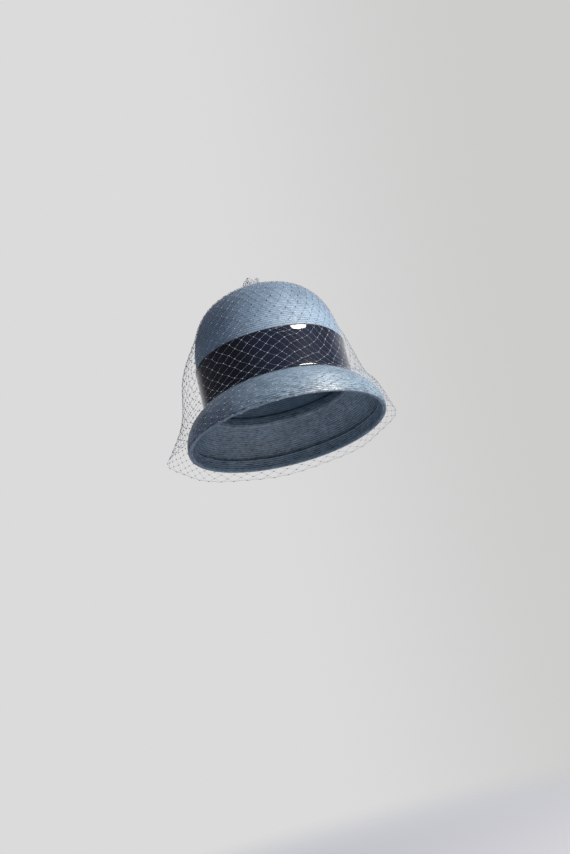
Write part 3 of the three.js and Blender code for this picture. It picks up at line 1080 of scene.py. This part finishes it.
    def rows_table(self) -> None:
        """Work out how far down its path each half row of knots lies, at every bearing.

        A half row is as tall as the thread's side leaves it: the root of the side
        squared less half the diamond's width squared. The sum of steps over that
        height counts the rows, and is scaled so that the hem is one whole row.
        """
        count = self.bearings
        way = np.linspace(0, 2, 420)[:, None] + np.zeros(count + 1)
        bearing = 2 * np.pi * np.arange(count + 1) / count + 0 * way
        points = self.form.on_oval(*self.section(way, bearing, warped=False), bearing)
        step = np.linalg.norm(np.diff(points, axis=0), axis=-1)
        wide = np.linalg.norm(np.gradient(points, 2 * np.pi / count, axis=1), axis=-1)
        wide = wide * np.pi / self.columns
        tall = np.sqrt(np.maximum(self.side**2 - wide**2, self.least_row**2))
        rows = np.concatenate([0 * step[:1], np.cumsum(step / ((tall[1:] + tall[:-1]) / 2), 0)])
        level = by_column(0 * rows[:1] - self.level, -points[..., 2], rows)[None]
        upper = rows * self.level_row / level
        lower = self.level_row + (rows - level) * (self.half_rows - self.level_row) / (rows[-1] - level)
        self.row_table, self.way_table = np.where(rows < level, upper, lower), way

    def bearing_of(self, rows: Array, turns: Array) -> Array:
        """The bearing of a column.

        The columns are even, but open out at the front left and close up on either
        side of it: a shift of the distance from there times a bell curve of it. A
        column beside the front left leans to the front above the band's middle.

        Args:
            rows: Half rows down from the tip.
            turns: Columns round.

        Returns:
            Bearings in radians.
        """
        even = 360 * (turns + self.phase) / self.columns
        away = (even + 108 + 180) % 360 - 180
        lean = smooth_step(self.level_row + 5, self.level_row - 5, rows) * smooth_step(4, 14, rows)
        lean = lean * np.exp(-(((away + 10) / 13) ** 2) / 2)
        return np.radians(even + 0.22 * away * np.exp(-((away / 33) ** 2) / 2) + 5.5 * lean)

    def way_at(self, rows: Array, bearing: Array) -> Array:
        """The place down the path of a half row, between the table's columns.

        Args:
            rows: Half rows down from the tip.
            bearing: Angle round the hat.

        Returns:
            The way, as section takes it.
        """
        place = (bearing % (2 * np.pi)) / (2 * np.pi) * self.bearings
        first = np.minimum(np.floor(place).astype(int), self.bearings - 1)
        shift = np.arange(self.bearings + 1) * (self.half_rows + 2.0)
        line, ways = (self.row_table + shift).T.ravel(), self.way_table.T.ravel()
        held = np.clip(rows, 0, self.half_rows)
        near = np.interp(held + shift[first], line, ways)
        after = np.interp(held + shift[first + 1], line, ways)
        return near + (after - near) * (place - first)

    def lattice(self, rows: Array, turns: Array) -> Array:
        """Points of the net by its own half rows and columns.

        Args:
            rows: Half rows down from the tip.
            turns: Columns round, before the front's spread.

        Returns:
            Points, with a last axis of three.
        """
        bearing = self.bearing_of(rows, turns)
        way = self.way_at(rows, bearing)
        return self.form.on_oval(*self.section(way, bearing), bearing)

    def outward(self, rows: Array, turns: Array) -> Array:
        """The net's outward direction, square to its two ways of running.

        Args:
            rows: Half rows down from the tip.
            turns: Columns round.

        Returns:
            Unit directions.
        """
        around = self.lattice(rows, turns + 0.05) - self.lattice(rows, turns - 0.05)
        below = np.minimum(rows + 0.05, self.half_rows)
        down = self.lattice(below, turns) - self.lattice(rows - 0.05, turns)
        return unit(np.cross(down, around))

    def build(self) -> list[Piece]:
        """Knot the veil: its threads, its hem cord and its knots.

        Returns:
            The threads, the knots and the hem's cord.
        """
        self.rows_table()
        jitter = self.strays(7)
        jitter[0, :, -1] = -np.abs(jitter[0, :, -1])
        first = self.neck / self.side
        start = np.linspace(first, 1, self.samples + 1)[:-1]
        rest = np.linspace(1, self.half_rows, (self.half_rows - 1) * self.samples + 1)
        down, turns = self.courses(np.concatenate([start, rest]), jitter)
        down = np.clip(down, first, self.half_rows)
        paths, outward = self.lattice(down, turns), self.outward(down, turns)
        threads = tubes("veil_threads", paths, outward, self.thread / 2)
        row, around = self.crossings(jitter)
        row = np.clip(row, 0.3, self.half_rows)
        centres, outward = self.lattice(row, around), self.outward(row, around)
        level = unit(self.lattice(row, around + 0.1) - self.lattice(row, around - 0.1))
        lumps = knots("veil_knots", centres, level, outward, self.knot_size)
        edge = np.linspace(0, self.columns, self.columns * 8 + 1)[None, :-1]
        sag = self.half_rows - self.scallop * np.sin(np.pi * edge) ** 2
        paths, outward = self.lattice(sag, edge), self.outward(sag, edge)
        cord = tubes("veil_hem", paths, outward, self.hem_cord / 2, closed=True)
        pieces, under = [threads, lumps, cord], ["crown_braid", "brim_braid"]
        self.finish_off(pieces, "net", "veil", self.half_rows * self.side, under)
        return pieces


@dataclass
class NetTuft(Net):
    """The tuft: the net's end above its tie, puffed out in folds."""

    foot: float = 125.8 * MM
    height: float = 21.0 * MM
    columns: int = 26
    half_rows: int = 4
    thread: float = 0.3 * MM
    folds: int = 5
    samples: int = 9
    loose: tuple[float, float] = (0.12, 0.1)
    knot_size: Triple = (0.9 * MM, 0.6 * MM, 0.6 * MM)
    shut_width: float = 0.38 * MM
    tie_radius: float = 4.1 * MM
    tie_turns: int = 3
    tie_pitch: float = 0.75 * MM
    tie_cord: float = 0.8 * MM
    # its radius by parts of its height, in mm
    profile: tuple[tuple[float, float], ...] = (
        (0.0, 3.6), (0.1, 4.5), (0.34, 7.6), (0.62, 10.6), (0.86, 11.8), (1.0, 9.6)
    )

    def lattice(self, rows: Array, turns: Array) -> Array:
        """Points of the puff: a profile of revolution, folded in and out and twisted.

        The folds are a cosine of folds times the angle, and half as much again of three
        times the angle; they deepen with height.

        Args:
            rows: Half rows up from the tie.
            turns: Columns round.

        Returns:
            Points, with a last axis of three.
        """
        rise, radius = np.array(self.profile).T
        part = np.clip(rows / self.half_rows, 0, 1)
        angle = 2 * np.pi * turns / self.columns
        lift = part - 0.03 * np.sin(2 * angle + 1) * part
        wide = np.interp(lift, rise, radius) * MM
        fold = np.cos(self.folds * angle + 2.2 * part) + 0.5 * np.cos(3 * angle - 1.4)
        wide = wide * (1 - 0.16 * part * (1.5 - fold))
        slope = self.height * 0.12 * part * np.cos(angle * 3 + 0.5)
        up = self.foot + lift * self.height * 0.9 + slope
        return np.stack([wide * np.cos(angle), wide * np.sin(angle), up], -1)

    def build(self) -> list[Piece]:
        """Puff out the tuft and wind its tie.

        Returns:
            The threads, the knots and the tie.
        """
        jitter = self.strays(11)
        rows = np.linspace(0, self.half_rows, self.half_rows * self.samples + 1)
        paths = self.lattice(*self.courses(rows, jitter))
        middle = np.array([0, 0, self.foot + 0.4 * self.height])
        threads = tubes("tuft_threads", paths, unit(paths - middle), self.thread / 2)
        centre = self.lattice(*self.crossings(jitter))
        outward = unit(centre - middle)
        level = unit(np.cross(outward, [0.0, 0.0, 1.0]))
        lumps = knots("tuft_knots", centre, level, outward, self.knot_size)
        turn = np.linspace(0, 2 * np.pi * self.tie_turns, 91)
        rise = self.foot + self.tie_cord / 2 + turn / (2 * np.pi) * self.tie_pitch
        wind = np.stack([self.tie_radius * np.cos(turn), self.tie_radius * np.sin(turn), rise], -1)[None]
        tie = tubes("tuft_tie", wind, unit(wind * np.array([1, 1, 0])), self.tie_cord / 2)
        length = float(np.linalg.norm(np.diff(paths, axis=1), axis=-1).sum(1).mean())
        self.finish_off([threads, lumps, tie], "tuft_net", "veil_tuft", length, ["crown_braid"])
        return [threads, lumps, tie]


# ---------------------------------------------------------------- the studio


@dataclass
class Studio:
    """A pale floor and surround, a soft key from the front right, and the camera."""

    floor_level: float = -0.52
    floor_reach: float = 30.0
    front_way: Triple = (0.62, -0.77, 0.12)
    back_way: Triple = (0.35, 0.94, 0.0)
    pale: str = "#dbdbdb"
    shaded: str = "#cdcdcc"
    camera_place: Triple = (-0.11562, -1.09377, -0.33203)
    camera_right: Triple = (0.972221, -0.038654, -0.23085)
    camera_up: Triple = (0.211536, -0.277073, 0.937274)
    lens: float = 43.175

    def floor(self) -> Piece:
        """Lay a wide pale floor that melts into the surround with distance.

        Returns:
            The floor.
        """
        corners = np.array([[-1, -1], [1, -1], [1, 1], [-1, 1]]) * self.floor_reach
        points = np.column_stack([corners, np.full(4, self.floor_level)])
        plane = mesh_object("floor", points, np.arange(4)[None], np.zeros((1, 4, 2)))
        material = bpy.data.materials.new("painted_studio_floor")
        add = node_adder(material)
        away = add("VectorMath", [add("TexCoord").outputs["Object"]], operation="LENGTH")
        fade = add("MapRange", [away, 0.5, 1.0], interpolation_type="SMOOTHSTEP")
        seen = add("MixShader", [fade, add("BsdfDiffuse", {"Color": "#b2b2b2"}), add("BsdfTransparent")])
        # light that leaves the floor for the hat is kept low, as a head and shoulders would keep it
        dull = add("BsdfDiffuse", {"Color": "#a6a9ad"})
        path = add("LightPath").outputs["Is Camera Ray"]
        add("OutputMaterial", [add("MixShader", [path, dull, seen])])
        plane.data.materials.append(material)
        return plane

    def surround(self) -> None:
        """Light the room: dim round the hat, paler before it, behind it and above, even to the camera."""
        world = bpy.data.worlds.new("studio")
        bpy.context.scene.world = world
        add = node_adder(world)
        toward = add("TexCoord").outputs["Generated"]
        right, _, up = add("SeparateXYZ", [toward]).outputs
        lean = add("VectorMath", [toward, self.front_way], operation="DOT_PRODUCT")
        behind = add("VectorMath", [toward, self.back_way], operation="DOT_PRODUCT")
        ramps = []
        # how far each direction's light reaches round, and its strength at either end
        for values in (
            [lean, -0.3, 0.9, 0.0, 1.0],
            [behind, 0.3, 0.95, 0.0, 0.9],
            [up, 0.25, 1.0, 0.0, 0.6],
            [right, 0.04, 0.34, 1.0, 0.0],
        ):
            ramps.append(add("MapRange", values, interpolation_type="SMOOTHSTEP"))
        faced, back, above, across = ramps
        front = add("MapRange", [faced, 0.0, 1.0, 0.12, 0.36])
        sides = add("Math", [front, back], operation="MAXIMUM")
        dim = add("Math", [sides, above], operation="ADD")
        tint = add("Mix", {0: faced, 6: "#e8e8ec", 7: "#a8c4ff"}, data_type="RGBA")
        room = add("Background", {"Color": tint, "Strength": dim})
        even = add("Mix", {0: across, 6: self.shaded, 7: self.pale}, data_type="RGBA")
        path = add("LightPath").outputs["Is Camera Ray"]
        add("OutputWorld", [add("MixShader", [path, room, add("Background", {"Color": even})])])

    def lamp(
        self, name: str, toward: Triple, away: float, size: tuple[float, float], power: float, colour: str
    ) -> Piece:
        """Hang a soft oval lamp that faces the hat.

        Args:
            name: The lamp's name.
            toward: The direction from the hat to the lamp.
            away: The lamp's distance.
            size: Its width and height.
            power: Its power in watts.
            colour: Its colour as sRGB hex.

        Returns:
            The lamp's object.
        """
        light = bpy.data.lights.new(name, "AREA")
        light.shape, light.size, light.size_y = "ELLIPSE", size[0], size[1]
        light.energy, light.color = power, linear_colour(colour)[:3]
        back = unit(np.array(toward))
        side = unit(np.cross([0.0, 0.0, 1.0], back))
        place = back * away + np.array([0, 0, 0.03])
        lamp = bpy.data.objects.new(name, light)
        self.set_up(lamp, side, np.cross(back, side), back, place)
        return lamp

    def set_up(self, thing: Piece, right: Array, up: Array, back: Array, place: Array) -> None:
        """Put a lamp or camera at a place, with its three axes.

        Args:
            thing: The lamp or camera.
            right: The direction to its right.
            up: The direction over it.
            back: The direction behind it.
            place: Where it stands.
        """
        columns = np.stack([right, up, back, place], -1)
        thing.matrix_world = Matrix([*columns.tolist(), [0, 0, 0, 1]])
        bpy.context.scene.collection.objects.link(thing)

    def camera(self) -> None:
        """Set the camera below and in front of the hat, tilted as the hat is worn."""
        lens = bpy.data.cameras.new("camera")
        lens.lens, lens.sensor_width, lens.clip_start, lens.clip_end = self.lens, 36.0, 0.02, 100.0
        right, up = unit(np.array(self.camera_right)), np.array(self.camera_up)
        back = unit(np.cross(right, up))
        camera = bpy.data.objects.new("camera", lens)
        self.set_up(camera, right, np.cross(back, right), back, np.array(self.camera_place))
        bpy.context.scene.camera = camera

    def build(self) -> None:
        """Set the whole studio."""
        self.camera()
        self.floor()
        self.surround()
        self.lamp("window", (0.739, -0.661, 0.1305), 1.3, (0.64, 0.34), 33.0, "#fff8ef")
        self.lamp("wall", (0.1, 0.92, 0.38), 1.7, (2.0, 1.6), 22.0, "#f2f4ff").visible_glossy = False
        bpy.context.scene.view_settings.view_transform = "Standard"


def main() -> None:
    """Build the hat piece by piece."""
    logging.basicConfig(level=logging.INFO, format="%(message)s")
    form = HatForm()
    Studio().build()
    # the crown's colour carries painted shade towards its tip
    crown_straw = StrawBraid("sewn_straw_braid_crown", painted_tip_shade=0.3, slit_least=0.22, slit_most=0.36)
    StrawCrown(form, crown_straw).build()
    # the brim's dark between rows is darker still, partly the join and partly painted shade
    brim_straw = StrawBraid(
        "sewn_straw_braid_brim", dark="#4b5f6d", light="#8399a9", seam_and_shade="#1d2632", roughness=0.43, gloss=0.95,
        uneven=0.26, slit_least=0.2,
    )
    StrawBrim(form, brim_straw, RowRelief(depth=0.32 * MM)).build()
    PatentBand(form, PatentLeather()).build()
    NetVeil(form, NetThread("knotted_net_veil")).build()
    NetTuft(form, NetThread("knotted_net_tuft")).build()


if __name__ == "__main__":
    main()
